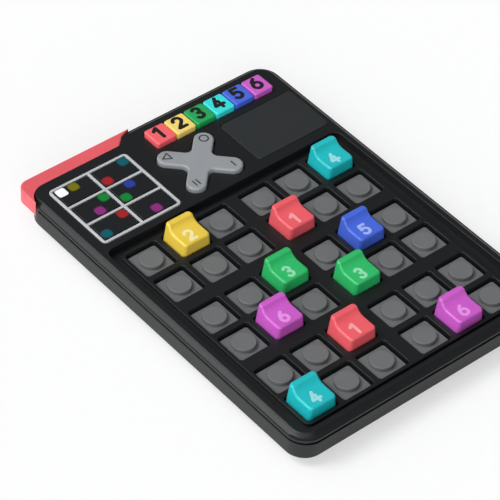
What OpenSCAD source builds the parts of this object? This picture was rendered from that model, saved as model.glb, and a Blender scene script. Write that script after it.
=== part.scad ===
// Handheld electronic sudoku board: a six by six grid of studded wells with number blocks in front,
// and a control deck with display, number keys and a four-way button behind.
// X runs to the player's right, Y away from the player, Z up.
// The origin is at the middle of the outline, on the surface that the feet stand on.

/* [Grid] */
// Width of a square well
well_w = 13.6; // [12:0.1:16]
// Width of the rib between two wells of one box
rib_w = 2.4; // [1.6:0.1:4]
// Extra width of the rib between two boxes
box_gap = 3.5; // [2:0.5:6]
// Corner radius of a well
well_r = 1.2; // [0.6:0.1:2]
// Depth from the rib tops to the pads, which is also the height of a stud
well_depth = 1.6; // [1.2:0.1:2.2]
// Gap between a pad and the wall of its well
pad_clear = 0.6; // [0.3:0.1:0.8]
// Diameter of a stud
stud_d = 8.9; // [7:0.1:10.2]
// Width of the rib outside the outer wells
rib_lip = 1.5; // [1:0.1:2.5]
// Depth of the grid below the control deck
recess_depth = 2; // [1:0.1:2.6]
// Distance from the outer wells to the wall of the recess, left and right
recess_side = 5.3; // [3:0.1:8]
// Distance from the outer wells to the wall of the recess, front and rear
recess_end = 4; // [3:0.1:8]
// Corner radius of the recess
recess_r = 3.2; // [1.5:0.1:5]
// Depth of the trench round the ribs
trench_depth = 1.2; // [0.5:0.1:1.5]
// Thickness of the plate that carries the pads
plate_t = 1.2; // [1:0.1:1.5]

/* [Case] */
// Width of the rim beside the recess, left and right
rim_side = 4.55; // [3.7:0.05:9]
// Width of the rim in front of the recess
rim_front = 4.3; // [3.7:0.1:9]
// Land between the recess and what stands on the control deck
deck_gap = 3.2; // [2.4:0.1:12]
// Corner radius of the case
corner_r = 8; // [6:0.5:9]
// Height of the cover's upright lip, above the parting groove
lip_h = 1; // [0.6:0.1:1.4]
// Width of the ledge between the lip and the sloping rim
ledge_w = 0.6; // [0.3:0.1:0.9]
// How far the sloping rim runs in
rim_run = 1.8; // [1:0.1:2.4]
// Thickness of the cover at the deck
cover_t = 2.6; // [2.4:0.1:3]
// Height of the parting groove
groove_h = 1; // [0.6:0.1:2]
// Depth of the parting groove
groove_d = 0.8; // [0.4:0.1:1]
// Height of the sloping lower edge
bevel_h = 3.5; // [3:0.1:5]
// How far the lower edge slopes in
bevel_in = 4.4; // [4:0.1:5.5]
// Wall thickness of the lower shell
wall_t = 2.2; // [2:0.1:2.4]
// Floor thickness of the lower shell
floor_t = 1.8; // [1.4:0.1:2.2]
// How far the feet stand out of the floor
foot_h = 1; // [0.5:0.1:2]
// Diameter of a foot
foot_d = 10; // [7:0.5:12]
// Distance from a foot's centre to the sides of the case
foot_inset = 15; // [13:0.5:18]

/* [Corner trim] */
// Width of the trim along the rear edge
trim_w = 5.7; // [4:0.1:7]
// Height of the trim
trim_h = 6.1; // [4:0.1:7]
// Length of the trim along its seat
trim_l = 42.9; // [30:0.1:52]
// Run of the steep slant at the end of the trim
trim_slant = 4; // [2:0.1:6]
// Run of the flat slant that follows it
trim_taper = 4.5; // [2:0.1:6]
// Distance from the trim's seat to the break between the slants
trim_break = 3.6; // [2:0.1:3.8]
// Radius of the trim's outer corner
trim_r = 4.5; // [2:0.1:7]

/* [Display] */
// Width of the display frame
display_w = 35.3; // [28:0.1:44]
// Length of the display frame
display_l = 34; // [27:0.1:42]
// Distance from the left side of the case to the frame
display_left = 6.6; // [5:0.1:8]
// Distance from the trim's seat to the frame
display_gap = 4.6; // [3.6:0.1:8]
// Corner radius of the frame
display_r = 1.8; // [0.8:0.1:2.5]
// Width of a bar of the frame
frame_bar = 1.1; // [0.8:0.1:1.6]
// How far the frame stands out of the deck
frame_proud = 0.4; // [0.2:0.1:1]
// Gap between a pane and the frame
pane_gap = 0.4; // [0.2:0.1:0.6]
// Wall between two cells of the baffle
baffle_wall = 0.7; // [0.5:0.1:1.2]

/* [Number keys] */
// Width of a key
key_w = 8.8; // [7:0.1:11]
// Length of a key
key_l = 9.1; // [7.5:0.1:12]
// Gap between two keys
key_gap = 0.45; // [0.3:0.05:0.6]
// Corner radius of a key
key_r = 1; // [0.5:0.1:2]
// How far a key stands out of the deck
key_proud = 2; // [1.2:0.1:3]
// Gap between the last key and the screw boss beside it
key_boss_gap = 0.8; // [0.5:0.1:4]
// Distance from the rear of the case to the keys
key_rear = 6.6; // [5.4:0.1:9]
// Press travel of a key
key_travel = 0.6; // [0.3:0.05:1]

/* [Direction button] */
// Distance from the centre to the tip of an arm
arm_l = 15.9; // [13:0.1:19]
// Width of an arm
arm_w = 7.6; // [6:0.1:8.4]
// Radius between two arms
arm_fillet = 2.4; // [1.5:0.1:3.5]
// How far the button stands out of the deck
button_proud = 1.6; // [1.2:0.1:3]
// Gap between the display frame and the button's arms
button_gap = 6.15; // [5:0.05:10]
// Gap between the keys and the button's arms
button_key_gap = 3.25; // [2.6:0.05:8]
// Tilt of the button to each side, in degrees
button_tilt = 3; // [1.5:0.1:3.4]
// Diameter of the pivot ball
pivot_d = 3.2; // [2.4:0.1:3.6]

/* [Panel] */
// Width of the inlaid panel
panel_w = 33.4; // [24:0.1:42]
// Length of the inlaid panel
panel_l = 23.5; // [18:0.1:30]
// Thickness of the inlaid panel
panel_t = 0.8; // [0.5:0.1:1.2]
// Corner radius of the inlaid panel
panel_r = 1.6; // [0.5:0.1:3]
// Distance from the right side of the case to the panel
panel_right = 4.3; // [3.5:0.1:6]
// Least gap between the button's arms and the panel
panel_gap = 6; // [3:0.1:10]
// Gap between the keys and the panel
panel_key_gap = 3.7; // [2.6:0.1:8]

/* [Number blocks] */
// Gap between a block and the wall of its well
block_clear = 0.4; // [0.2:0.05:0.8]
// Height of a block's rear ridge above the ribs
ridge_h = 7.2; // [6:0.1:8]
// Height of the face that bears the number, above the ribs
face_h = 4.6; // [3.8:0.1:5.2]
// Length of the ridge
ridge_l = 2.5; // [1.5:0.1:3]
// Radius of the hollow between face and ridge
scoop_r = 3.6; // [2.7:0.1:5]
// How far each side leans in at the ridge
side_lean = 0.9; // [0.3:0.1:1.2]
// How far the rear leans in at the ridge
rear_lean = 0.5; // [0.2:0.1:1]
// Corner radius of a block
block_r = 1.6; // [0.8:0.1:2.2]
// Gap round the stud in a block's socket
socket_clear = 0.2; // [0.1:0.05:0.3]
// Lift of a block that is taken off
block_lift = 15; // [10:1:40]

/* [Inside] */
// Room over the charging socket, under the deck
socket_top = 0.4; // [0.2:0.1:1]
// Thickness of the circuit board
board_t = 1.2; // [0.8:0.1:1.6]
// Thickness of the battery cell
battery_t = 4; // [2.5:0.1:6]
// Width of the battery cell
battery_w = 60; // [40:1:70]
// Length of the battery cell
battery_l = 38; // [30:1:50]
// Diameter of the speaker
speaker_d = 22; // [16:0.5:24]
// Thickness of the speaker
speaker_t = 3.4; // [2.5:0.1:4]
// Width of the charging socket
socket_w = 9; // [7.5:0.1:9.5]
// Height of the charging socket
socket_h = 3; // [2.4:0.1:3.6]
// Depth of the charging socket
socket_l = 7.3; // [6:0.1:8]
// Diameter of a screw's shank
screw_d = 2; // [1.6:0.1:2.4]
// Diameter of a screw's head
screw_head_d = 3.8; // [3:0.1:4]

/* [Hidden] */
$fn = 64;
cells = 6;
box_columns = 3;
box_rows = 2;
column_gaps = cells / box_columns - 1;
row_gaps = cells / box_rows - 1;

// Gaps and lips inside
cell_pitch = well_w + rib_w;
tub_wall = 1.2;
baffle_lip = 0.8;
boss_r = 2.4;
boss_gap = 0.5;
boss_wall = 0.6;
key_wall_gap = 0.8;

// Direction button and keys
arm_reach = arm_l - arm_w / 2;
arm_half = arm_reach * cos(45) + arm_w / 2;
key_count = 6;
key_pitch = key_w + key_gap;
keys_w = key_count * key_w + (key_count - 1) * key_gap;
key_right = wall_t + boss_wall + 2 * boss_r + key_boss_gap;

// Distances from the rear of the case
display_rear = trim_w + display_gap;
button_rear = key_rear + key_l + button_key_gap + arm_half;
panel_rear = key_rear + key_l + panel_key_gap;

// Outline of the case: wide enough for the grid, the deck and the row of keys
grid_w = (cells - 1) * cell_pitch + column_gaps * box_gap + well_w;
grid_l = (cells - 1) * cell_pitch + row_gaps * box_gap + well_w;
side_margin = recess_side + rim_side;
front_margin = recess_end + rim_front;
deck_w = display_left + display_w + button_gap + 2 * arm_half + panel_gap + panel_w + panel_right;
rear_w = trim_l + trim_slant + wall_t + key_wall_gap + keys_w + key_right;
case_w = max(grid_w + 2 * side_margin, deck_w, rear_w);
furniture_l = max(display_rear + display_l, button_rear + arm_half, panel_rear + panel_l);
deck_l = recess_end + deck_gap + furniture_l;
case_l = front_margin + grid_l + deck_l;
x_left = -case_w / 2;
x_right = case_w / 2;
y_front = -case_l / 2;
y_rear = case_l / 2;
y_notch = y_rear - trim_w;
x_step = x_left + trim_l;
x_break = x_step + trim_slant;
x_end = x_break + trim_taper;
y_break = y_notch + trim_break;
end_slope = trim_taper / (trim_w - trim_break);
grid_y = y_front + front_margin + grid_l / 2;

// Heights from the feet upwards
bay_clear = 0.3;
mat_t = 0.6;
dome_clear = 0.1;
key_flange_t = 0.9;
key_stack = key_flange_t + key_travel + dome_clear + mat_t;
button_flange = 0.8;
button_flange_t = 0.8;
button_mat_t = 0.39;
lift_clear = 0.08;
flange_reach = arm_reach + sqrt(2) * (arm_w / 2 + button_flange);
button_lift = flange_reach * sin(button_tilt) + lift_clear;
button_stack = 2 * button_lift + button_flange_t + dome_clear + button_mat_t;
key_room = max(socket_h + socket_top, key_stack, button_stack);
z_floor = foot_h;
z_inside = z_floor + floor_t;
z_board = z_inside + max(battery_t, speaker_t) + bay_clear;
z_plate = z_board + board_t;
z_tub = z_plate + plate_t;
z_deck = z_plate + key_room;
z_lip = z_deck + lip_h;
z_top = z_deck + cover_t;
z_rib = z_top - recess_depth;
z_pad = z_rib - well_depth;
z_trench = z_rib - trench_depth;
z_band = z_floor + bevel_h;
z_groove = z_deck - groove_h;

// Recess and tub of the grid
recess_w = grid_w + 2 * recess_side;
recess_l = grid_l + 2 * recess_end;
island_w = grid_w + 2 * rib_lip;
island_l = grid_l + 2 * rib_lip;
island_r = well_r + rib_lip;
plate_lip = 0.8;
board_clear = 0.4;
trim_tip = 1.6;

// Screws and their bosses
post_r = 3.2;
seat_h = 3;
head_h = 1.5;
screw_clear = 0.15;
boss_x = grid_w / 2 + plate_lip + boss_gap + boss_r;
boss_y_front = y_front + front_margin;
boss_left_x = x_left + display_left + display_w + baffle_lip + boss_gap + boss_r;
boss_right_x = x_right - wall_t - boss_wall - boss_r;
rear_boss_left = [boss_left_x, y_notch - wall_t - boss_wall - boss_r];
rear_boss_right = [boss_right_x, y_rear - key_rear - key_l / 2];
grid_bosses = [[-boss_x, boss_y_front], [boss_x, boss_y_front], [-boss_x, grid_y], [boss_x, grid_y]];
deck_bosses = [rear_boss_left, rear_boss_right];
bosses = concat(grid_bosses, deck_bosses);
z_tip = z_tub + 0.9;
bore_clear = 0.05;
slot_w = 0.6;

// Feet, speaker and charging socket
foot_seat = 0.6;
foot_clear = 0.1;
foot_x = case_w / 2 - foot_inset;
foot_y_front = y_front + foot_inset;
foot_y_rear = y_notch - foot_inset;
feet = [[-foot_x, foot_y_front], [foot_x, foot_y_front], [-foot_x, foot_y_rear], [foot_x, foot_y_rear]];
speaker_x = x_right - panel_right - panel_w / 2;
speaker_y = y_rear - panel_rear - panel_l / 2;
speaker_rim = 4;
speaker_step = 1;
sound_hole_d = 1.8;
sound_ring = 4;
socket_gap = 0.2;
socket_shell = 0.4;

// Places on the deck
display_x = x_left + display_left + display_w / 2;
display_y = y_rear - display_rear - display_l / 2;
z_frame = z_top + frame_proud;
pane_columns = 2;
pane_rows = 3;
window_w = (display_w - (pane_columns + 1) * frame_bar) / pane_columns;
window_l = (display_l - (pane_rows + 1) * frame_bar) / pane_rows;
deck_clear = 0.15;
led_w = 2;
led_h = 0.8;
lights_across = 3;
lights_along = 2;
light_columns = lights_across * pane_columns;
light_rows = lights_along * pane_rows;
keys_x = x_right - key_right - keys_w / 2;
keys_y = y_rear - key_rear - key_l / 2;
key_clear = 0.3;
key_dome_r = 3;
key_dome_top_r = 2.2;
key_flange = 1;
z_key = z_deck - key_flange_t;
button_x = x_left + display_left + display_w + button_gap + arm_half;
button_y = y_rear - button_rear;
button_clear = 0.45;
z_button = z_deck - button_lift - button_flange_t;
ball_clear = 0.1;
z_pivot = z_plate + ball_clear + pivot_d / 2;
dome_reach = 10.5;
dome_r = 2;
panel_x = speaker_x;
panel_y = speaker_y;
panel_clear = 0.15;

// Number blocks: number, column from the left, row from the rear
block_w = well_w - 2 * block_clear;
block_roof = 1.8;
blocks = [
    ["number_block_1a", 1, 3, 1], ["number_block_1b", 1, 2, 4], ["number_block_2a", 2, 1, 0],
    ["number_block_3a", 3, 2, 2], ["number_block_3b", 3, 3, 3], ["number_block_4a", 4, 5, 0],
    ["number_block_4b", 4, 0, 5], ["number_block_5a", 5, 4, 2], ["number_block_6a", 6, 1, 3],
    ["number_block_6b", 6, 4, 5]
];
number_colors = ["#F0505A", "#F4CE4E", "#22A45A", "#24CBD0", "#3F63D8", "#C556C4"];

// Centre of a column, counted from the left, and of a row, counted from the rear
function column_x(c) =
    (c - (cells - 1) / 2) * cell_pitch + (floor(c / box_columns) - column_gaps / 2) * box_gap;
function row_y(r) =
    grid_y - (r - (cells - 1) / 2) * cell_pitch - (floor(r / box_rows) - row_gaps / 2) * box_gap;

// Centre of a window of the display, columns from the left and rows from the rear
function window_x(c) = display_x + (c - (pane_columns - 1) / 2) * (window_w + frame_bar);
function window_y(r) = display_y - (r - (pane_rows - 1) / 2) * (window_l + frame_bar);

// Centre of a light, counted like the windows
function light_x(c) =
    window_x(floor(c / lights_across))
    + (c % lights_across - (lights_across - 1) / 2) * window_w / lights_across;
function light_y(r) =
    window_y(floor(r / lights_along))
    - (r % lights_along - (lights_along - 1) / 2) * window_l / lights_along;

// Centre of a key, counted from the left
function key_x(k) = keys_x + (k - (key_count + 1) / 2) * key_pitch;

// Flat rectangle with round corners, about the origin
module round_rect(w, l, r) {
    square([w - 2 * r, l], center = true);
    square([w, l - 2 * r], center = true);
    for (sx = [-1, 1], sy = [-1, 1])
        translate([sx * (w / 2 - r), sy * (l / 2 - r)]) circle(r);
}

// Round rectangle given by its corner points
module round_area(x0, y0, x1, y1, r) {
    translate([(x0 + x1) / 2, (y0 + y1) / 2]) round_rect(x1 - x0, y1 - y0, r);
}

// Straight stretch of the case's edge: the profile starts on the outline and grows inwards
module edge_run(start, length, turn) {
    translate([start[0], start[1], 0])
        rotate([90, 0, turn])
            linear_extrude(length) children();
}

// Round corner of the case's edge, a quarter turn from the given angle
module edge_corner(centre, from) {
    translate([centre[0], centre[1], 0])
        rotate([0, 0, from])
            rotate_extrude(angle = 90)
                translate([corner_r, 0]) mirror([1, 0]) children();
}

// Body inside the outline: the first profile runs along the outer edges, the second along the trim's notch
module outline_body(z0, z1) {
    r = corner_r;
    difference() {
        union() {
            translate([0, 0, z0]) linear_extrude(z1 - z0) polygon([
                [x_left + r, y_front + r], [x_right - r, y_front + r], [x_right - r, y_rear - r],
                [x_step, y_rear - r], [x_step, y_notch - r], [x_left + r, y_notch - r]
            ]);
            edge_run([x_left, y_notch - r], y_notch - y_front - 2 * r, 0) children(0);
            edge_run([x_left + r, y_front], case_w - 2 * r, 90) children(0);
            edge_run([x_right, y_front + r], case_l - 2 * r, 180) children(0);
            edge_run([x_right - r, y_rear], x_right - r - x_step, 270) children(0);
            edge_run([x_step, y_notch], trim_l - r, 270) children(1);
            edge_corner([x_left + r, y_front + r], 180) children(0);
            edge_corner([x_right - r, y_front + r], 270) children(0);
            edge_corner([x_right - r, y_rear - r], 0) children(0);
            edge_corner([x_left + r, y_notch - r], 90) children(1);
        }
        translate([0, 0, z0 - 1]) linear_extrude(z1 - z0 + 2) polygon([
            [x_step - 1, y_notch], [x_step, y_notch], [x_break, y_break],
            [x_end + end_slope, y_rear + 1], [x_step - 1, y_rear + 1]
        ]);
    }
}

// Area inside the outline of the case, drawn in by a distance
module inside_area(d) {
    r = max(corner_r - d, 0.5);
    round_area(x_left + d, y_front + d, x_right - d, y_notch - d, r);
    round_area(x_break + d, y_front + d, x_right - d, y_rear - d, r);
}

// Cross of four round arms on the diagonals, grown by a distance
module cross_area(grow) {
    a = arm_w / 2 + grow;
    f = arm_fillet - grow;
    for (turn = [45, 135]) rotate(turn) {
        square([2 * arm_reach, 2 * a], center = true);
        for (side = [-1, 1]) translate([side * arm_reach, 0]) circle(a);
    }
    for (turn = [45, 135, 225, 315]) rotate(turn) difference() {
        square(a + f);
        translate([a + f, a + f]) circle(f);
    }
}

// Lower shell: sloping underside, plain wall and a stepped rim that leaves the parting groove
module bottom_shell() {
    low = wall_t + bevel_in * (1 - floor_t / bevel_h);
    color("#4A4D50") difference() {
        union() {
            difference() {
                outline_body(z_floor, z_deck) {
                    polygon([
                        [bevel_in, z_floor], [0, z_band], [0, z_groove], [groove_d, z_groove],
                        [groove_d, z_deck], [corner_r, z_deck], [corner_r, z_floor]
                    ]);
                    polygon([
                        [bevel_in, z_floor], [0, z_band], [0, z_deck], [corner_r, z_deck], [corner_r, z_floor]
                    ]);
                }
                translate([0, 0, z_inside]) linear_extrude(z_band - z_inside + 1) inside_area(low);
                translate([0, 0, z_band]) linear_extrude(z_deck - z_band + 1) inside_area(wall_t);
            }
            for (p = bosses)
                translate([p[0], p[1], z_inside - 0.5]) cylinder(h = z_board - z_inside + 0.5, r = post_r);
        }
        for (p = bosses) translate([p[0], p[1], z_floor - 1]) {
            cylinder(h = z_board - z_floor + 2, d = screw_d + 2 * screw_clear);
            cylinder(h = seat_h + 1, d = screw_head_d + 2 * screw_clear);
        }
        for (p = feet)
            translate([p[0], p[1], z_floor - 1]) cylinder(h = foot_seat + 1, d = foot_d + 2 * foot_clear);
        translate([speaker_x, speaker_y, z_floor - 1]) {
            cylinder(h = floor_t + 2, d = sound_hole_d);
            for (turn = [0 : 60 : 300])
                rotate(turn) translate([sound_ring, 0, 0]) cylinder(h = floor_t + 2, d = sound_hole_d);
        }
        translate([x_right - wall_t - 1, panel_y - socket_w / 2 - socket_gap, z_plate - socket_gap])
            cube([wall_t + 2, socket_w + 2 * socket_gap, z_deck - z_plate + 1]);
    }
}

// Top cover: deck with a lip and a sloping rim, and a tub whose floor carries the ribs between the wells
module top_cover() {
    color("#1F2224") difference() {
        union() {
            outline_body(z_deck, z_top) {
                polygon([
                    [0, z_deck], [0, z_lip], [ledge_w, z_lip], [ledge_w + rim_run, z_top],
                    [corner_r, z_top], [corner_r, z_deck]
                ]);
                translate([0, z_deck]) square([corner_r, cover_t]);
            }
            translate([0, grid_y, z_tub]) linear_extrude(z_deck - z_tub + 0.2)
                round_rect(recess_w + 2 * tub_wall, recess_l + 2 * tub_wall, recess_r + tub_wall);
            for (p = bosses)
                translate([p[0], p[1], z_plate]) cylinder(h = z_deck - z_plate + 0.2, r = boss_r);
        }
        translate([0, grid_y, z_rib]) linear_extrude(recess_depth + 1)
            round_rect(recess_w, recess_l, recess_r);
        translate([0, grid_y, z_trench]) linear_extrude(trench_depth + 1) difference() {
            round_rect(recess_w, recess_l, recess_r);
            round_rect(island_w, island_l, island_r);
        }
        translate([0, 0, z_tub - 1]) linear_extrude(z_rib - z_tub + 2)
            for (c = [0 : cells - 1], r = [0 : cells - 1])
                translate([column_x(c), row_y(r)]) round_rect(well_w, well_w, well_r);
        translate([display_x, display_y, z_deck - 1]) linear_extrude(cover_t + 2)
            round_rect(display_w + 2 * deck_clear, display_l + 2 * deck_clear, display_r + deck_clear);
        translate([keys_x, keys_y, z_deck - 1]) linear_extrude(cover_t + 2)
            round_rect(keys_w + 2 * key_clear, key_l + 2 * key_clear, key_r + key_clear);
        translate([button_x, button_y, z_deck - 1]) linear_extrude(cover_t + 2) cross_area(button_clear);
        translate([panel_x, panel_y, z_top - panel_t]) linear_extrude(panel_t + 1)
            round_rect(panel_w + 2 * panel_clear, panel_l + 2 * panel_clear, panel_r + panel_clear);
        for (p = bosses)
            translate([p[0], p[1], z_plate - 1])
                cylinder(h = z_tip - z_plate + 1.1, d = screw_d + 2 * bore_clear);
    }
}

// Bumper in the notch of the rear left corner, one end tapering along the case's own corner
module corner_trim() {
    y_tip = y_notch - corner_r + trim_tip;
    color("#E8505B") translate([0, 0, z_top - trim_h]) linear_extrude(trim_h) difference() {
        union() {
            translate([x_left, y_tip]) square([trim_r, y_rear - trim_r - y_tip]);
            translate([x_left + trim_r, y_tip]) square([x_end + 1 - x_left - trim_r, y_rear - y_tip]);
            translate([x_left + trim_r, y_rear - trim_r]) circle(trim_r);
        }
        round_area(x_left, y_front, x_right, y_notch, corner_r);
        polygon([
            [x_step, y_notch - 1], [x_step, y_notch], [x_break, y_break], [x_end + end_slope, y_rear + 1],
            [x_end + end_slope + 1, y_rear + 1], [x_end + end_slope + 1, y_notch - 1]
        ]);
    }
}

// Plate under the grid with a pad and a stud in each well
module stud_plate() {
    color("#77797B") union() {
        translate([0, grid_y, z_plate]) linear_extrude(plate_t)
            round_rect(grid_w + 2 * plate_lip, grid_l + 2 * plate_lip, well_r + plate_lip);
        for (c = [0 : cells - 1], r = [0 : cells - 1]) translate([column_x(c), row_y(r), 0]) {
            translate([0, 0, z_tub]) linear_extrude(z_pad - z_tub)
                round_rect(well_w - 2 * pad_clear, well_w - 2 * pad_clear, well_r - pad_clear / 2);
            translate([0, 0, z_pad]) cylinder(h = well_depth, d = stud_d);
        }
    }
}

// Circuit board, clamped between the posts of the shell and the bosses of the cover
module main_board() {
    color("#2E6B46") translate([0, 0, z_board]) linear_extrude(board_t) difference() {
        inside_area(wall_t + board_clear);
        for (p = bosses) translate(p) circle(d = screw_d + 2 * screw_clear);
    }
}

// Frame of the display with two columns of three windows
module display_frame() {
    color("#B9BBBE") translate([0, 0, z_deck]) linear_extrude(z_frame - z_deck) difference() {
        translate([display_x, display_y]) round_rect(display_w, display_l, display_r);
        for (c = [0 : pane_columns - 1], r = [0 : pane_rows - 1])
            translate([window_x(c), window_y(r)]) square([window_w, window_l], center = true);
    }
}

// Smoked pane in one window of the display
module display_pane(c, r) {
    color("#212427") translate([window_x(c), window_y(r), z_deck]) linear_extrude(z_frame - z_deck)
        square([window_w - 2 * pane_gap, window_l - 2 * pane_gap], center = true);
}

// Baffle under the panes, one shaft for each light
module led_baffle() {
    shaft_w = window_w / lights_across - baffle_wall;
    shaft_l = window_l / lights_along - baffle_wall;
    color("#E6E6E2") translate([0, 0, z_plate]) linear_extrude(key_room) difference() {
        translate([display_x, display_y])
            square([display_w + 2 * baffle_lip, display_l + 2 * baffle_lip], center = true);
        for (c = [0 : light_columns - 1], r = [0 : light_rows - 1])
            translate([light_x(c), light_y(r)]) square([shaft_w, shaft_l], center = true);
    }
}

// Lights on the board, one in each shaft
module display_leds() {
    color("#F2EFD8")
        for (c = [0 : light_columns - 1], r = [0 : light_rows - 1])
            translate([light_x(c) - led_w / 2, light_y(r) - led_w / 2, z_plate]) cube([led_w, led_w, led_h]);
}

// Press key with a flange in front and behind that stops under the deck
module number_key(k) {
    color(number_colors[k - 1]) translate([key_x(k), keys_y, z_key]) union() {
        linear_extrude(z_top + key_proud - z_key) round_rect(key_w, key_l, key_r);
        linear_extrude(key_flange_t) square([key_w, key_l + 2 * key_flange], center = true);
    }
}

// Silicone mat with a dome under each key
module key_mat() {
    color("#DCDAD4") translate([0, keys_y, z_plate]) union() {
        translate([keys_x, 0, 0]) linear_extrude(mat_t)
            square([keys_w, key_l + 2 * key_flange], center = true);
        for (k = [1 : key_count])
            translate([key_x(k), 0, 0])
                cylinder(h = z_key - key_travel - dome_clear - z_plate, r1 = key_dome_r, r2 = key_dome_top_r);
    }
}

// Four-way button: a flanged cross whose socket rides on the pivot ball
module direction_button() {
    color("#94989C") translate([button_x, button_y, 0]) difference() {
        union() {
            translate([0, 0, z_button]) linear_extrude(z_top + button_proud - z_button) cross_area(0);
            translate([0, 0, z_button]) linear_extrude(button_flange_t) cross_area(button_flange);
        }
        translate([0, 0, z_pivot]) sphere(d = pivot_d + 2 * ball_clear);
    }
}

// Ball that the button tilts on
module button_pivot() {
    color("#C8CACC") translate([button_x, button_y, z_pivot]) sphere(d = pivot_d);
}

// Silicone mat with a dome under each arm and a hole for the ball
module button_mat() {
    dome_top = z_button - (dome_reach + dome_r) * sin(button_tilt) - dome_clear;
    color("#DCDAD4") translate([button_x, button_y, z_plate]) difference() {
        union() {
            linear_extrude(button_mat_t) cross_area(button_flange);
            for (turn = [45 : 90 : 315])
                rotate(turn) translate([dome_reach, 0, 0]) cylinder(h = dome_top - z_plate, r = dome_r);
        }
        translate([0, 0, -1]) cylinder(h = button_mat_t + 2, d = pivot_d + 6 * ball_clear);
    }
}

// Flush panel at the rear right
module panel_inlay() {
    color("#2E3133") translate([panel_x, panel_y, z_top - panel_t]) linear_extrude(panel_t)
        round_rect(panel_w, panel_l, panel_r);
}

// Flat cell on the floor of the shell
module battery_cell() {
    color("#8FA0AE") translate([0, grid_y, z_inside]) linear_extrude(battery_t)
        round_rect(battery_w, battery_l, 2);
}

// Charging socket on the board, open to the right
module charge_socket() {
    r = socket_h / 2 - 0.05;
    color("#B4B7BA") translate([x_right - socket_l, panel_y, z_plate + socket_h / 2])
        rotate([90, 0, 90]) union() {
            linear_extrude(socket_l) difference() {
                round_rect(socket_w, socket_h, r);
                round_rect(socket_w - 2 * socket_shell, socket_h - 2 * socket_shell, r - socket_shell);
            }
            linear_extrude(1)
                round_rect(socket_w - socket_shell, socket_h - socket_shell, r - socket_shell / 2);
            linear_extrude(socket_l - 1) square([socket_w * 0.7, 0.7], center = true);
        }
}

// Speaker over the holes in the floor
module speaker() {
    color("#35383B") translate([speaker_x, speaker_y, z_inside]) union() {
        cylinder(h = speaker_t - speaker_step, d = speaker_d);
        cylinder(h = speaker_t, d = speaker_d - 2 * speaker_rim);
    }
}

// Six screws from the underside through posts and board into the cover
module case_screws() {
    color("#A9ACAF") for (p = bosses) translate([p[0], p[1], z_floor + seat_h]) union() {
        difference() {
            translate([0, 0, -head_h]) cylinder(h = head_h, d = screw_head_d);
            translate([0, 0, -head_h - 1]) linear_extrude(1.8) {
                square([screw_d, slot_w], center = true);
                square([slot_w, screw_d], center = true);
            }
        }
        translate([0, 0, -0.1]) cylinder(h = z_tip - z_floor - seat_h + 0.1, d = screw_d);
    }
}

// Four feet in shallow seats of the underside
module rubber_feet() {
    color("#191A1B") for (p = feet)
        translate([p[0], p[1], 0]) cylinder(h = foot_h + foot_seat, d = foot_d);
}

// Number block: a lying face for the number, a hollow, and a ridge behind to lift it by
module number_block(n, c, r) {
    w = block_w;
    top = well_depth + ridge_h;
    face = well_depth + face_h;
    drop = ridge_h - face_h;
    hollow_y = w / 2 - rear_lean - ridge_l - sqrt(2 * scoop_r * drop - drop * drop);
    color(number_colors[n - 1]) translate([column_x(c), row_y(r), z_pad]) difference() {
        intersection() {
            linear_extrude(top) round_rect(w, w, block_r);
            translate([0, w, 0]) rotate([90, 0, 0]) linear_extrude(2 * w)
                polygon([[-w / 2, 0], [w / 2, 0], [w / 2 - side_lean, top], [side_lean - w / 2, top]]);
            translate([-w, 0, 0]) rotate([90, 0, 90]) linear_extrude(2 * w) difference() {
                polygon([[-w / 2, 0], [w / 2, 0], [w / 2 - rear_lean, top], [-w / 2, top]]);
                translate([-w, face]) square([w + hollow_y, top]);
                translate([hollow_y, face + scoop_r]) circle(scoop_r);
            }
        }
        translate([0, 0, -1]) cylinder(h = face - block_roof + 1, d = stud_d + 2 * socket_clear);
    }
}

bottom_shell();
top_cover();
corner_trim();
stud_plate();
main_board();
display_frame();
for (i = [0 : pane_columns * pane_rows - 1])
    display_pane(i % pane_columns, floor(i / pane_columns));
led_baffle();
display_leds();
for (k = [1 : key_count])
    number_key(k);
key_mat();
direction_button();
button_pivot();
button_mat();
panel_inlay();
battery_cell();
charge_socket();
speaker();
case_screws();
rubber_feet();
for (b = blocks)
    number_block(b[1], b[2], b[3]);
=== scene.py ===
import math

import bmesh
import bpy
from mathutils import Euler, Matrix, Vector
from mathutils.geometry import delaunay_2d_cdt


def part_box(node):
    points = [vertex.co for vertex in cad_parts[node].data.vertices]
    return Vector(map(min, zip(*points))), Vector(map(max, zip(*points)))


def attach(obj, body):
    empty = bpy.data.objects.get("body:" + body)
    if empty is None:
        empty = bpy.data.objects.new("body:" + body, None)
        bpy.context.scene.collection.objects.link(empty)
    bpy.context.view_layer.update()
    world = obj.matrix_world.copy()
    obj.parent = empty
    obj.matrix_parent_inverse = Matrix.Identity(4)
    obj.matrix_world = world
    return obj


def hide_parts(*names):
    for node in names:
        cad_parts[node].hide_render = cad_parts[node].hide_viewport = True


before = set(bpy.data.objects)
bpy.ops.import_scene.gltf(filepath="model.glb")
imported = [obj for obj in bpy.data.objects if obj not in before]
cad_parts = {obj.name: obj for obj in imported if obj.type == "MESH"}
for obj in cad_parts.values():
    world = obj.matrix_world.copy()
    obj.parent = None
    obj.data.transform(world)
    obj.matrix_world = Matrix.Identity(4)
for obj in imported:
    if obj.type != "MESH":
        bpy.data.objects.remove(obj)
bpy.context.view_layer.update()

# Lower shell: the tray that everything stands in, injection moulded in black ABS. Its wall slopes in at the
# underside, and the parting groove to the cover runs all round. Six screws from below close the case.
shell_edge_mm = 0.3
weld_m = 2e-6


def linear(colour, gain=1.0):
    """An sRGB hex colour as linear RGBA, lightened or darkened by a gain."""
    parts = [int(colour[i:i + 2], 16) / 255 for i in (1, 3, 5)]
    parts = [p / 12.92 if p <= 0.04045 else ((p + 0.055) / 1.055) ** 2.4 for p in parts]
    return [min(p * gain, 1.0) for p in parts] + [1.0]


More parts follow.
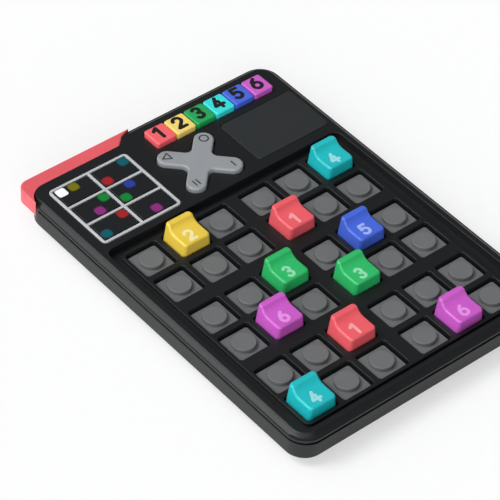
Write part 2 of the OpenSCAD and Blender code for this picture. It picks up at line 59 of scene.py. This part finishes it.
def put(tree, kind, settings, inputs):
    """Adds a node, with its settings, and its sockets set to a value or linked from another node's socket."""
    node = tree.nodes.new(kind)
    for name, value in settings.items():
        setattr(node, name, value)
    for name, value in inputs.items():
        if isinstance(value, bpy.types.NodeSocket):
            tree.links.new(value, node.inputs[name])
        else:
            node.inputs[name].default_value = value
    return node


def moulded(name, colour, roughness, grain_mm, relief_mm, ior=1.53, gloss=0.5, mottle=0.08):
    """Moulded plastic: its colour drifts where the melt flowed, and the skin of the mould gives the grain."""
    flow_mm = 14
    shiniest, dullest = 0.85 * roughness, 1.15 * roughness
    finish = bpy.data.materials.new(name)
    finish.use_nodes = True
    tree = finish.node_tree
    tree.nodes.clear()
    place = put(tree, "ShaderNodeTexCoord", {}, {}).outputs["Object"]
    flow = put(tree, "ShaderNodeTexNoise", {}, {
        "Vector": place, "Scale": 1000 / flow_mm, "Detail": 4.0, "Distortion": 0.6})
    # The sockets of a colour mix share their names, so they go by number: the share, then the two colours.
    tone = put(tree, "ShaderNodeMix", {"data_type": "RGBA"}, {
        0: flow.outputs["Fac"], 6: linear(colour, 1 - mottle), 7: linear(colour, 1 + mottle)})
    grain = put(tree, "ShaderNodeTexNoise", {}, {"Vector": place, "Scale": 1000 / grain_mm, "Detail": 2.0})
    dull = put(tree, "ShaderNodeMapRange", {}, {
        "Value": grain.outputs["Fac"], "To Min": shiniest, "To Max": dullest})
    relief = put(tree, "ShaderNodeBump", {}, {
        "Height": grain.outputs["Fac"], "Distance": relief_mm / 1000, "Strength": 0.6})
    skin = put(tree, "ShaderNodeBsdfPrincipled", {}, {
        "Base Color": tone.outputs[2], "Roughness": dull.outputs[0], "Normal": relief.outputs[0],
        "IOR": ior, "Specular IOR Level": gloss})
    put(tree, "ShaderNodeOutputMaterial", {}, {"Surface": skin.outputs[0]})
    return finish


def rounded(shape, edges, radius_mm, steps):
    """Rounds the given edges of a shape."""
    bmesh.ops.bevel(shape, geom=edges, offset=radius_mm / 1000, offset_type="OFFSET", segments=steps,
                    profile=0.5, affect="EDGES", clamp_overlap=False)


def outer_edges(shape, above_mm):
    """The edges of a shape that stick out, above a height."""
    least_bend = math.radians(28)
    return [e for e in shape.edges if e.is_convex and e.calc_face_angle() > least_bend
            and min(v.co.z for v in e.verts) > above_mm / 1000]


def moulding(node, shape, body, finish):
    """Makes the shape a piece that stands for a node: smooth, apart from its sharp edges."""
    sharp_bend = math.radians(50)
    for face in shape.faces:
        face.smooth = True
    for edge in shape.edges:
        edge.smooth = edge.calc_face_angle(math.pi) < sharp_bend
    mesh = bpy.data.meshes.new(node + "_moulding")
    shape.to_mesh(mesh)
    shape.free()
    mesh.materials.append(finish)
    piece = bpy.data.objects.new(node + "_moulding", mesh)
    bpy.context.scene.collection.objects.link(piece)
    piece.modifiers.new("flat_faces", "WEIGHTED_NORMAL").keep_sharp = True
    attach(piece, body)
    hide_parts(node)


def softened(node, body, finish, edge_mm, above_mm=0.0, wanted=None, reshape=None):
    """A copy of a node whose outer edges, or the wanted ones above a height, have the radius of a mould."""
    flat_bend = math.radians(0.5)
    edge_steps = 3
    shape = bmesh.new()
    shape.from_mesh(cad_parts[node].data)
    bmesh.ops.remove_doubles(shape, verts=shape.verts, dist=weld_m)
    bmesh.ops.dissolve_limit(shape, angle_limit=flat_bend, verts=shape.verts, edges=shape.edges)
    if reshape:
        reshape(shape)
    outer = outer_edges(shape, above_mm)
    if wanted:
        outer = [e for e in outer if wanted(500 * (e.verts[0].co + e.verts[1].co))]
    rounded(shape, outer, edge_mm, edge_steps)
    bmesh.ops.dissolve_degenerate(shape, dist=weld_m, edges=shape.edges)
    moulding(node, shape, body, finish)


# Black ABS with a fine sparked skin: a soft, slightly grey sheen and no mirror. The grit of the mould is about
# 0.1 mm and is drawn at 0.5 mm so that it shows.
sparked_black_abs = moulded("sparked_black_abs", "#121416", roughness=0.42, grain_mm=0.5, relief_mm=0.04,
                            gloss=0.38)
softened("bottom_shell", "case", sparked_black_abs, shell_edge_mm)

# Rechargeable cell: a flat lithium polymer pouch, sealed in aluminium foil and taped to the floor of the lower
# shell.


def metal(name, colour, roughness, grain_mm, relief_mm):
    """Bare or plated metal: bright, with a skin of fine marks that blurs what it mirrors."""
    finish = moulded(name, colour, roughness, grain_mm, relief_mm, ior=1.5, mottle=0.05)
    finish.node_tree.nodes["Principled BSDF"].inputs["Metallic"].default_value = 1.0
    return finish


def dress(node, finish):
    """Gives a node of the frame, which keeps its own shape, its finish."""
    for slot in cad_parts[node].material_slots:
        slot.material = finish


# Aluminium foil, crinkled where it was folded round the cell: broken, half-bright patches about 3 mm across.
crinkled_foil = metal("crinkled_foil", "#C2C6C8", roughness=0.34, grain_mm=3.0, relief_mm=0.12)
dress("battery_cell", crinkled_foil)

# Sounder: a small round speaker in a black frame, glued over the holes of the underside.
# Its pressed card is dull, with fibres of about 0.8 mm.
pressed_cone_card = moulded("pressed_cone_card", "#232425", roughness=0.7, grain_mm=0.8, relief_mm=0.06)
dress("speaker", pressed_cone_card)

# Charging socket: a folded steel shell, soldered to the edge of the board and open to the right wall.
# Its tin plating is bright and slightly cloudy.
tinned_steel = metal("tinned_steel", "#C9CBCC", roughness=0.28, grain_mm=0.9, relief_mm=0.01)
dress("charge_socket", tinned_steel)

# Circuit board: glass-epoxy laminate, held between the posts of the shell and the bosses of the cover.
# Its green solder mask is a glossy lacquer with the glass weave, about 1.2 mm, faintly showing.
green_solder_mask = moulded("green_solder_mask", "#1F5B3A", roughness=0.3, grain_mm=1.2, relief_mm=0.02, ior=1.55)
dress("main_board", green_solder_mask)

# Light emitting diodes: 36 small square packages, soldered to the board under the display.
# Cast in milky epoxy, smooth and slightly warm.
milky_epoxy = moulded("milky_epoxy", "#E4E2D6", roughness=0.25, grain_mm=0.6, relief_mm=0.01)
dress("display_leds", milky_epoxy)

# Baffle: a white moulded grid with one cell round each diode, so that each light point stays square.
# Polycarbonate straight from the mould, with a soft shine.
white_polycarbonate = moulded("white_polycarbonate", "#E6E6E2", roughness=0.4, grain_mm=0.6, relief_mm=0.02)
dress("led_baffle", white_polycarbonate)

# Mats: two sheets of moulded silicone, laid on the board, whose domes push the keys and the rocker back up.
# Silicone is dull and slightly greasy to the eye.
grey_silicone = moulded("grey_silicone", "#8C8F90", roughness=0.55, grain_mm=0.8, relief_mm=0.03, ior=1.41)
dress("key_mat", grey_silicone)
dress("button_mat", grey_silicone)

# Pivot: a steel ball between the board and the rocker, held in the seat of the mat.
# Polished bearing steel: a clear mirror with the faintest lapping marks.
polished_steel = metal("polished_steel", "#C8CACB", roughness=0.15, grain_mm=0.7, relief_mm=0.002)
dress("button_pivot", polished_steel)

# Stud plate: one moulding of grey ABS that lies under the cover. Its 36 pads and round studs come up through the
# wells, and the number blocks are pushed onto them. The sparked mould leaves a matt skin.
stud_edge_mm = 0.3
matt_grey_abs = moulded("matt_grey_abs", "#6A6C6D", roughness=0.5, grain_mm=0.5, relief_mm=0.04, gloss=0.45)
softened("stud_plate", "case", matt_grey_abs, stud_edge_mm)

# Top cover: the black upper half of the case, with a lip and a sloping rim, the control deck and the sunken grid
# of wells and ribs. Moulded in the same ABS as the lower shell and drawn down onto it by the screws.
cover_edge_mm = 0.25
corner_r_mm = 8.0
trim_corner_y_mm = 66.5
rim_mm = 2.4
fade_degrees = 60
cover_low, cover_high = (1000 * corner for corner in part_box("top_cover"))
trim_corner = Vector((cover_low.x + corner_r_mm, trim_corner_y_mm))


def faded_rim(shape):
    """Lets the sloping rim fade out round the corner that carries the trim."""
    near_mm = 0.05
    near_degrees = 0.1
    for vert in shape.verts:
        away = 1000 * vert.co.xy - trim_corner
        turn = math.degrees(math.atan2(away.y, -away.x))
        on_top = 1000 * vert.co.z > cover_high.z - near_mm
        on_corner = abs(away.length - corner_r_mm) < near_mm and -near_degrees < turn < fade_degrees
        if on_top and on_corner:
            slope_mm = rim_mm * (1 - turn / fade_degrees)
            vert.co.xy = (trim_corner + away * (1 - slope_mm / corner_r_mm)) / 1000
    bmesh.ops.remove_doubles(shape, verts=shape.verts, dist=weld_m)


softened("top_cover", "case", sparked_black_abs, cover_edge_mm, reshape=faded_rim)

# Corner trim: a coral red bumper, moulded in ABS and pressed into the notch of the rear left corner.
# Its skin is satin, so it shows a broad soft highlight.
trim_edge_mm = 0.6
top_band_mm = 0.1
coral_abs = moulded("coral_abs", "#E65D66", roughness=0.45, grain_mm=0.5, relief_mm=0.03)
trim_top = 1000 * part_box("corner_trim")[1].z
notch_y = trim_corner.y + corner_r_mm


def on_outside(middle):
    """Whether an edge of the trim, given by its middle, is away from the notch that the trim fits."""
    past_corner_mm = 0.6
    past_notch_mm = 0.3
    return ((middle.xy - trim_corner).length > corner_r_mm + past_corner_mm
            and abs(middle.y - notch_y) > past_notch_mm)


softened("corner_trim", "case", coral_abs, trim_edge_mm, trim_top - top_band_mm, on_outside)

# Display frame: a light grey bezel with six windows, moulded in ABS and snapped into the deck.
# Satin, with a thin bright line where its edges are rounded.
frame_edge_mm = 0.3
silver_grey_abs = moulded("silver_grey_abs", "#C0C3C6", roughness=0.42, grain_mm=0.5, relief_mm=0.02)
softened("display_frame", "case", silver_grey_abs, frame_edge_mm)

# Panes: six tiles of smoked acrylic, almost black until a diode behind them is lit. Each sits in its own window.
# Cast sheet: glossy, with a slow ripple of a few millimetres.
pane_edge_mm = 0.3
pane_skin = {"roughness": 0.2, "grain_mm": 2.5, "relief_mm": 0.004, "ior": 1.49}
smoked_acrylic = moulded("smoked_acrylic", "#1A1D20", **pane_skin, gloss=0.4)
for pane in range(1, 7):
    softened(f"display_pane_{pane}", "case", smoked_acrylic, pane_edge_mm)

# Light points: the glow of the lit diodes in the panes, one soft square for each number on the grid and a white
# one for the cell in play. Each is a thin skin on its pane.
point_mm = 4.1
point_r_mm = 0.9
skin_mm = 0.03
window_mm = (16.0, 9.87)
rows_in_window, columns_in_window = 2, 3


def middle_mm(node):
    """The middle of a node's box."""
    low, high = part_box(node)
    return 500 * (low + high)


def flat_piece(name, faces_mm, z_mm, body, finish):
    """A thin flat piece, such as ink: overlapping outlines in mm become one, raised a little above z."""
    inside_only, join_mm, keep_ids = 1, 1e-5, True
    points, faces = [], []
    for outline in faces_mm:
        faces.append(list(range(len(points), len(points) + len(outline))))
        points += [Vector(p) for p in outline]
    verts, _, tris, _, _, covered = delaunay_2d_cdt(points, [], faces, inside_only, join_mm, keep_ids)
    shape = bmesh.new()
    corners = [shape.verts.new((v.x / 1000, v.y / 1000, z_mm / 1000)) for v in verts]
    for tri, outlines in zip(tris, covered):
        if outlines:
            shape.faces.new([corners[i] for i in tri])
    loose = [v for v in shape.verts if not v.link_faces]
    bmesh.ops.delete(shape, geom=loose, context="VERTS")
    bmesh.ops.dissolve_limit(shape, angle_limit=math.radians(1), verts=shape.verts, edges=shape.edges)
    bmesh.ops.recalc_face_normals(shape, faces=shape.faces)
    for face in shape.faces:
        if face.normal.z < 0:
            face.normal_flip()
    grown = bmesh.ops.extrude_face_region(shape, geom=shape.faces[:])
    raised = [g for g in grown["geom"] if isinstance(g, bmesh.types.BMVert)]
    bmesh.ops.translate(shape, vec=(0, 0, skin_mm / 1000), verts=raised)
    bmesh.ops.recalc_face_normals(shape, faces=shape.faces)
    mesh = bpy.data.meshes.new(name)
    shape.to_mesh(mesh)
    shape.free()
    piece = bpy.data.objects.new(name, mesh)
    bpy.context.scene.collection.objects.link(piece)
    mesh.materials.append(finish)
    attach(piece, body)


def arc(cx, cy, r, start, end, count=14):
    """Points on an arc, from one angle to another in degrees."""
    turns = [math.radians(start + (end - start) * i / count) for i in range(count + 1)]
    return [(cx + r * math.cos(t), cy + r * math.sin(t)) for t in turns]


def glow(name, colour, rim_share):
    """Smoked acrylic with a lit diode behind it: bright over the diode, and down to a share at the rim."""
    fade_from, fade_to = 0.38, 0.66
    finish = moulded(name, "#0A0B0C", **pane_skin, gloss=0.15)
    tree = finish.node_tree
    place = put(tree, "ShaderNodeTexCoord", {}, {}).outputs["Generated"]
    level = put(tree, "ShaderNodeVectorMath", {"operation": "MULTIPLY"}, {0: place, 1: (1, 1, 0)})
    away = put(tree, "ShaderNodeVectorMath", {"operation": "DISTANCE"}, {0: level.outputs[0], 1: (0.5, 0.5, 0)})
    fade = put(tree, "ShaderNodeMapRange", {"interpolation_type": "SMOOTHSTEP"}, {
        "Value": away.outputs["Value"], "From Min": fade_from, "From Max": fade_to})
    light = put(tree, "ShaderNodeMix", {"data_type": "RGBA"}, {
        0: fade.outputs[0], 6: linear(colour), 7: linear(colour, rim_share)})
    skin = tree.nodes["Principled BSDF"]
    tree.links.new(light.outputs[2], skin.inputs["Emission Color"])
    skin.inputs["Emission Strength"].default_value = 1.0
    return finish


window_x = [middle_mm(f"display_pane_{pane}").x for pane in (1, 2)]
window_y = [middle_mm(f"display_pane_{pane}").y for pane in (1, 3, 5)]
pane_top = 1000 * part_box("display_pane_1")[1].z
step_x = window_mm[0] / columns_in_window
step_y = window_mm[1] / rows_in_window
# Each colour with its share of light at the rim: the white one is crisp, and the others are soft.
point_colours = {
    "white": ("#FFFFFF", 0.9), "yellow": ("#75700F", 0.3), "teal": ("#0E5B68", 0.3), "red": ("#A02325", 0.3),
    "blue": ("#2C3B98", 0.3), "green": ("#138235", 0.3), "magenta": ("#8A2C78", 0.3),
}
glows = {name: glow(f"lit_{name}_acrylic", *colour) for name, colour in point_colours.items()}
# Row from the rear, column from the left, colour.
lit = [
    (0, 0, "white"), (0, 1, "yellow"), (0, 5, "teal"), (1, 3, "red"), (2, 2, "green"), (2, 4, "blue"),
    (3, 1, "magenta"), (3, 3, "green"), (4, 2, "red"), (5, 0, "teal"), (5, 4, "magenta"),
]
for row, column, name in lit:
    x = window_x[column // columns_in_window] + (column % columns_in_window - 1) * step_x
    y = window_y[row // rows_in_window] - (row % rows_in_window - 0.5) * step_y
    half = point_mm / 2 - point_r_mm
    outline = []
    for sx, sy, start in ((1, 1, 0), (-1, 1, 90), (-1, -1, 180), (1, -1, 270)):
        outline += arc(x + sx * half, y + sy * half, point_r_mm, start, start + 90, 6)
    flat_piece(f"light_point_{row}_{column}", [outline], pane_top, "case", glows[name])

# Number keys: six caps of coloured ABS along the rear edge, held by a flange under the deck and pushed up by the
# silicone mat. The digit on each is printed in black ink.
key_edge_mm = 0.6
key_digit_mm = 7.2
key_stroke_mm = 1.5
key_digit_shift_mm = Vector((-0.2, 0.5))
key_colours = ["#FB666E", "#F6D873", "#22A658", "#38E0DF", "#4868DC", "#CC60C9"]
number_slots = ["red_plastic", "yellow_plastic", "green_plastic", "cyan_plastic", "blue_plastic", "magenta_plastic"]
# Strokes of each digit, in heights of the digit.
digit_middle = (0.34, 0.5)
digit_lines = {
    1: [[(0.14, 0.70), (0.38, 0.88), (0.38, 0.12)]],
    2: [arc(0.34, 0.65, 0.23, 170, -35) + [(0.13, 0.12), (0.58, 0.12)]],
    3: [arc(0.32, 0.69, 0.19, 150, -90), arc(0.32, 0.31, 0.20, 90, -150)],
    4: [[(0.40, 0.88), (0.10, 0.32), (0.62, 0.32)], [(0.44, 0.60), (0.44, 0.12)]],
    5: [[(0.54, 0.88), (0.18, 0.88), (0.15, 0.53)], arc(0.32, 0.36, 0.235, 130, -150)],
    6: [[(0.44, 0.88), (0.24, 0.70), (0.13, 0.44)], arc(0.35, 0.36, 0.235, 0, 360, 24)],
}


def drawn(lines, width, scale, centre, middle):
    """Outlines of round-ended strokes: one for each stretch of each line, scaled about the middle."""
    end_steps = 8
    shapes = []
    for line in lines:
        spots = [((x - middle[0]) * scale + centre[0], (y - middle[1]) * scale + centre[1]) for x, y in line]
        for (x0, y0), (x1, y1) in zip(spots, spots[1:]):
            lean = math.degrees(math.atan2(y1 - y0, x1 - x0))
            near_end = arc(x0, y0, width / 2, lean + 90, lean + 270, end_steps)
            far_end = arc(x1, y1, width / 2, lean - 90, lean + 90, end_steps)
            shapes.append(near_end + far_end)
    return shapes


# Black pad-printing ink: a thin film, a little duller than the plastic under it.
black_print_ink = moulded("black_print_ink", "#17181A", roughness=0.5, grain_mm=0.4, relief_mm=0.01, gloss=0.35)
for key, (colour, slot) in enumerate(zip(key_colours, number_slots), 1):
    node, body = f"number_key_{key}", f"key_{key}"
    key_top = 1000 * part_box(node)[1].z
    centre = middle_mm(node).xy + key_digit_shift_mm
    # Glossy ABS from a polished mould: a clear highlight along the rounded edges.
    glossy_abs = moulded(f"glossy_key_abs_{key}", colour, roughness=0.3, grain_mm=0.6, relief_mm=0.012)
    softened(node, body, glossy_abs, key_edge_mm, key_top - top_band_mm)
    shapes = drawn(digit_lines[key], key_stroke_mm, key_digit_mm, centre, digit_middle)
    flat_piece(f"key_digit_{key}", shapes, key_top, body, black_print_ink)

# Rocker: the grey X-shaped button, one moulding of ABS that tilts on the steel ball and presses a dome under each
# arm. Its edges are well rounded, and each arm has a thin printed mark.
button_edge_mm = 0.8
mark_mm = 3.9
mark_line_mm = 0.55
mark_reach_mm = 12.2
button_top = 1000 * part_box("direction_button")[1].z
hub = middle_mm("direction_button").xy
# Satin ABS: an even grey with a broad soft highlight.
satin_grey_abs = moulded("satin_grey_abs", "#94979B", roughness=0.4, grain_mm=0.5, relief_mm=0.02)
softened("direction_button", "rocker", satin_grey_abs, button_edge_mm, button_top - top_band_mm)
# The direction of each mark's arm in degrees, and its strokes in half widths of a mark.
marks = {
    "triangle": (135, [[(0.62, 1.04), (0.62, -1.04), (-1.15, 0), (0.62, 1.04)]]),
    "ring": (45, [arc(0, 0, 1, 0, 360, 32)]),
    "bar": (315, [[(0, -0.8), (0, 0.8)]]),
    "two_bars": (225, [[(-0.45, -0.8), (-0.45, 0.8)], [(0.45, -0.8), (0.45, 0.8)]]),
}
# Dark grey pad-printing ink: a thin, dull film.
grey_print_ink = moulded("grey_print_ink", "#34373A", roughness=0.5, grain_mm=0.4, relief_mm=0.01, gloss=0.35)
for name, (angle, lines) in marks.items():
    turn = math.radians(angle)
    spot = hub + mark_reach_mm * Vector((math.cos(turn), math.sin(turn)))
    shapes = drawn(lines, mark_line_mm, (mark_mm - mark_line_mm) / 2, spot, (0, 0))
    flat_piece(f"button_{name}", shapes, button_top, "rocker", grey_print_ink)

# Panel: a flush plate of dark grey acrylic, cut from sheet and glued into its recess in the deck.
# Half glossy, with a slow ripple.
panel_edge_mm = 0.15
charcoal_acrylic = moulded("charcoal_acrylic", "#2B2E30", roughness=0.34, grain_mm=3.0, relief_mm=0.003,
                           ior=1.49, gloss=0.4)
softened("panel_inlay", "case", charcoal_acrylic, panel_edge_mm)

# Screws: six self-tapping steel screws in the sunken holes of the underside.
# Zinc plated: bluish grey and half bright.
zinc_plate = metal("zinc_plate", "#B4B9BE", roughness=0.32, grain_mm=0.7, relief_mm=0.008)
dress("case_screws", zinc_plate)

# Feet: four discs of black rubber, stuck to the underside.
# Rubber is dull and slightly dusty, so it's greyer than the case.
foot_edge_mm = 0.2
black_rubber = moulded("black_rubber", "#26282A", roughness=0.75, grain_mm=0.6, relief_mm=0.05, ior=1.52, gloss=0.3)
softened("rubber_feet", "case", black_rubber, foot_edge_mm)

# Number blocks: ten hollow caps of coloured ABS, pushed onto the studs. The front of each is flat and carries a
# pale printed digit; the rear rises in a scoop to a ridge for the finger.
block_corner_mm = 1.5
block_edge_mm = 0.85
drop_mm = 2.6
ridge_mm = 2.5
scoop_r_mm = 3.6
side_lean_mm = 0.9
rear_lean_mm = 0.5
socket_r_mm = 4.65
socket_mm = 4.4
block_digit_mm = 6.1
block_stroke_mm = 1.2
block_digit_shift_mm = Vector((-0.8, -2.5))
block_colours = {"1": "#EE5F68", "2": "#EBCB4A", "3": "#2DBB68", "4": "#1DBDC3", "5": "#4568DA", "6": "#CB5CC8"}
ink_colours = {"1": "#F6A5AA", "2": "#F6E9AE", "3": "#92DDB2", "4": "#9FDDE5", "5": "#9FB2F0", "6": "#E892E6"}
# Pale pad-printing ink, thin enough for the block's colour to tint it.
pale_inks = {number: moulded(f"pale_print_ink_{number}", colour, roughness=0.45, grain_mm=0.4, relief_mm=0.01,
                             gloss=0.4)
             for number, colour in ink_colours.items()}
# Glossy ABS from a polished mould: clear highlights on the rounded edges.
block_finishes = {number: moulded(f"glossy_block_abs_{number}", colour, roughness=0.32, grain_mm=0.6,
                                  relief_mm=0.012)
                  for number, colour in block_colours.items()}


def scooped_block(node, body, finish):
    """A scooped profile between two leaning sides, its corners and edges rounded, with a socket from below."""
    foot_mm = 4
    low, high = (1000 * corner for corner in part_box(node))
    x, y = (low.x + high.x) / 2, (low.y + high.y) / 2
    rise, half = high.z - low.z, (high.x - low.x) / 2
    face_z = rise - drop_mm
    hollow_y = half - rear_lean_mm - ridge_mm - math.sqrt(2 * scoop_r_mm * drop_mm - drop_mm ** 2)
    turn = math.degrees(math.acos(1 - drop_mm / scoop_r_mm))
    profile = [(-half, 0), (-half, face_z)]
    profile += arc(hollow_y, face_z + scoop_r_mm, scoop_r_mm, -90, turn - 90, 10)
    profile += [(half - rear_lean_mm, rise), (half, 0)]
    shape = bmesh.new()
    sides = []
    for way in (-1, 1):
        spots = [(x + way * (half - side_lean_mm * z / rise), y + depth, low.z + z) for depth, z in profile]
        sides.append([shape.verts.new(Vector(spot) / 1000) for spot in spots])
    left, right = sides
    shape.faces.new(left)
    shape.faces.new(right)
    for i in range(len(profile)):
        shape.faces.new((left[i - 1], left[i], right[i], right[i - 1]))
    bmesh.ops.recalc_face_normals(shape, faces=shape.faces)
    upright = [e for e in shape.edges if abs(e.verts[0].co.z - e.verts[1].co.z) > foot_mm / 1000]
    rounded(shape, upright, block_corner_mm, 5)
    rounded(shape, outer_edges(shape, low.z + foot_mm), block_edge_mm, 4)
    base = min(shape.faces, key=lambda face: face.calc_center_median().z)
    outline = base.edges[:]
    bmesh.ops.delete(shape, geom=[base], context="FACES_ONLY")
    circle = arc(x, y, socket_r_mm, 0, 360, 40)[:-1]
    ring, roof = ([shape.verts.new((px / 1000, py / 1000, z / 1000)) for px, py in circle]
                  for z in (low.z, low.z + socket_mm))
    rim = [shape.edges.new((ring[i - 1], ring[i])) for i in range(len(ring))]
    bmesh.ops.triangle_fill(shape, use_beauty=True, edges=outline + rim)
    for i in range(len(ring)):
        shape.faces.new((ring[i - 1], ring[i], roof[i], roof[i - 1]))
    shape.faces.new(roof)
    bmesh.ops.recalc_face_normals(shape, faces=shape.faces)
    moulding(node, shape, body, finish)


for block in ("1a", "1b", "2a", "3a", "3b", "4a", "4b", "5a", "6a", "6b"):
    number = block[0]
    node, body, slot = f"number_block_{block}", f"block_{block}", number_slots[int(number) - 1]
    face_top = 1000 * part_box(node)[1].z - drop_mm
    centre = middle_mm(node).xy + block_digit_shift_mm
    scooped_block(node, body, block_finishes[number])
    shapes = drawn(digit_lines[int(number)], block_stroke_mm, block_digit_mm, centre, digit_middle)
    flat_piece(f"block_digit_{block}", shapes, face_top, body, pale_inks[number])

# Floor and light: a wide sheet of white paper just under the feet, a large soft lamp high at the rear left, a
# weaker one low at the front left, and a room that is bright on the left and dim on the other sides.
floor_m = 3
floor_z = -0.0001
fibre_mm = 4
seen_lift = 0.5
mirrored_lift = 0.1
floor_corners = [(-floor_m, -floor_m, floor_z), (floor_m, -floor_m, floor_z),
                 (floor_m, floor_m, floor_z), (-floor_m, floor_m, floor_z)]
floor_mesh = bpy.data.meshes.new("floor")
floor_mesh.from_pydata(floor_corners, [], [(0, 1, 2, 3)])
floor = bpy.data.objects.new("floor", floor_mesh)
bpy.context.scene.collection.objects.link(floor)
# White paper, matt, with fibres of a few millimetres. It is lifted towards plain white for the camera, and a
# little in mirrors, and keeps the shadow.
white_paper = bpy.data.materials.new("white_paper")
white_paper.use_nodes = True
tree = white_paper.node_tree
tree.nodes.clear()
place = put(tree, "ShaderNodeTexCoord", {}, {}).outputs["Object"]
fibres = put(tree, "ShaderNodeTexNoise", {}, {"Vector": place, "Scale": 1000 / fibre_mm, "Detail": 3.0})
paper_tone = put(tree, "ShaderNodeMix", {"data_type": "RGBA"}, {
    0: fibres.outputs["Fac"], 6: linear("#F8F9F9"), 7: linear("#FDFEFE")})
paper = put(tree, "ShaderNodeBsdfDiffuse", {}, {"Color": paper_tone.outputs[2]})
bright = put(tree, "ShaderNodeEmission", {}, {"Color": (1, 1, 1, 1), "Strength": 1.0})
path = put(tree, "ShaderNodeLightPath", {}, {})
mirrored = put(tree, "ShaderNodeMath", {"operation": "ADD"}, {
    0: path.outputs["Is Glossy Ray"], 1: path.outputs["Is Transmission Ray"]})
seen = put(tree, "ShaderNodeMath", {"operation": "MULTIPLY"}, {0: path.outputs["Is Camera Ray"], 1: seen_lift})
lift = put(tree, "ShaderNodeMath", {"operation": "MULTIPLY_ADD"}, {
    0: mirrored.outputs[0], 1: mirrored_lift, 2: seen.outputs[0]})
mixed = put(tree, "ShaderNodeMixShader", {}, {0: lift.outputs[0], 1: paper.outputs[0], 2: bright.outputs[0]})
put(tree, "ShaderNodeOutputMaterial", {}, {"Surface": mixed.outputs[0]})
floor_mesh.materials.append(white_paper)

# Each lamp: its strength, its width in degrees, and the direction that its light comes from.
lamps = {
    "rear_lamp": (1.55, 28, (-0.52, 0.31, 0.80)),
    "front_lamp": (1.15, 40, (-0.56, -0.75, 0.34)),
}
for name, (energy, spread, source) in lamps.items():
    lamp_data = bpy.data.lights.new(name, "SUN")
    lamp_data.energy = energy
    lamp_data.angle = math.radians(spread)
    lamp = bpy.data.objects.new(name, lamp_data)
    lamp.rotation_euler = Vector(source).to_track_quat("Z", "Y").to_euler()
    bpy.context.scene.collection.objects.link(lamp)

bright_side = (-0.75, 0.1, 0.65)
dim_level, bright_level = 0.12, 0.88
room = bpy.data.worlds.new("room")
bpy.context.scene.world = room
room.use_nodes = True
tree = room.node_tree
tree.nodes.clear()
place = put(tree, "ShaderNodeTexCoord", {}, {}).outputs["Generated"]
side = put(tree, "ShaderNodeVectorMath", {"operation": "DOT_PRODUCT"}, {0: place, 1: bright_side})
level = put(tree, "ShaderNodeMapRange", {"interpolation_type": "SMOOTHSTEP"}, {
    "Value": side.outputs["Value"], "From Min": 0.0, "From Max": 1.0, "To Min": dim_level, "To Max": bright_level})
sky = put(tree, "ShaderNodeBackground", {}, {"Color": (1, 1, 1, 1), "Strength": level.outputs[0]})
put(tree, "ShaderNodeOutputWorld", {}, {"Surface": sky.outputs[0]})

# Camera: a long lens, high at the front left. Its place, turn in degrees and focal length were fitted to the
# corners of the grid's cells.
camera_data = bpy.data.cameras.new("camera")
camera_data.lens = 198.891
camera_data.sensor_width = 36
camera_data.clip_start = 0.01
camera = bpy.data.objects.new("camera", camera_data)
camera.location = (-0.48259, -0.52712, 0.68919)
camera.rotation_euler = Euler([math.radians(a) for a in (46.3328, -2.1382, -39.5466)], "XYZ")
bpy.context.scene.collection.objects.link(camera)
bpy.context.scene.camera = camera
bpy.context.scene.view_settings.view_transform = "Standard"
